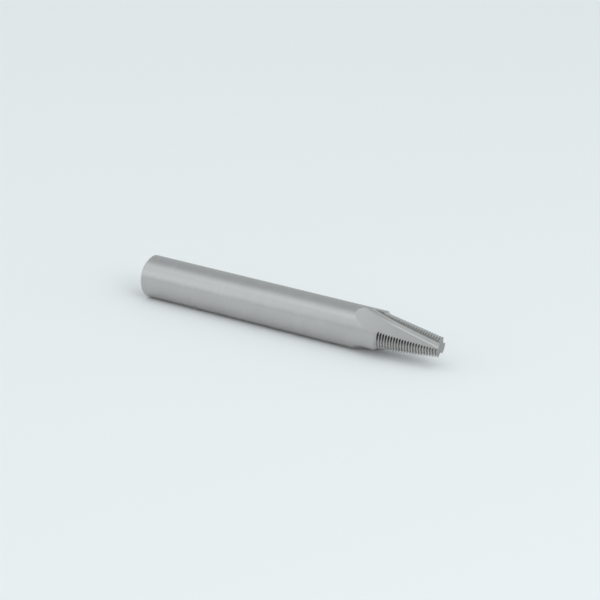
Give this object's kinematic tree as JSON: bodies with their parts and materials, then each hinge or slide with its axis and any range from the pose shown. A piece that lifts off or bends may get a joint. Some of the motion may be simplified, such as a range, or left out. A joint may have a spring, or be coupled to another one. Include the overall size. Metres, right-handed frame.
{
  "type": "thread mill",
  "caption": "Solid carbide thread mill with a round shank and a short tapered head whose straight flutes leave lands of relieved thread-form teeth.",
  "frame": {"origin": "centre of the flat end of the shank", "axes": "+Z along the tool axis from the shank end to the tip, +X along the rake face of the first flute near the tip"},
  "size_m": [0.008, 0.008, 0.06],
  "materials": {
    "carbide": "ground, satin"
  },
  "bodies": {
    "root": {"thread_mill": "carbide"}
  },
  "joints": []
}
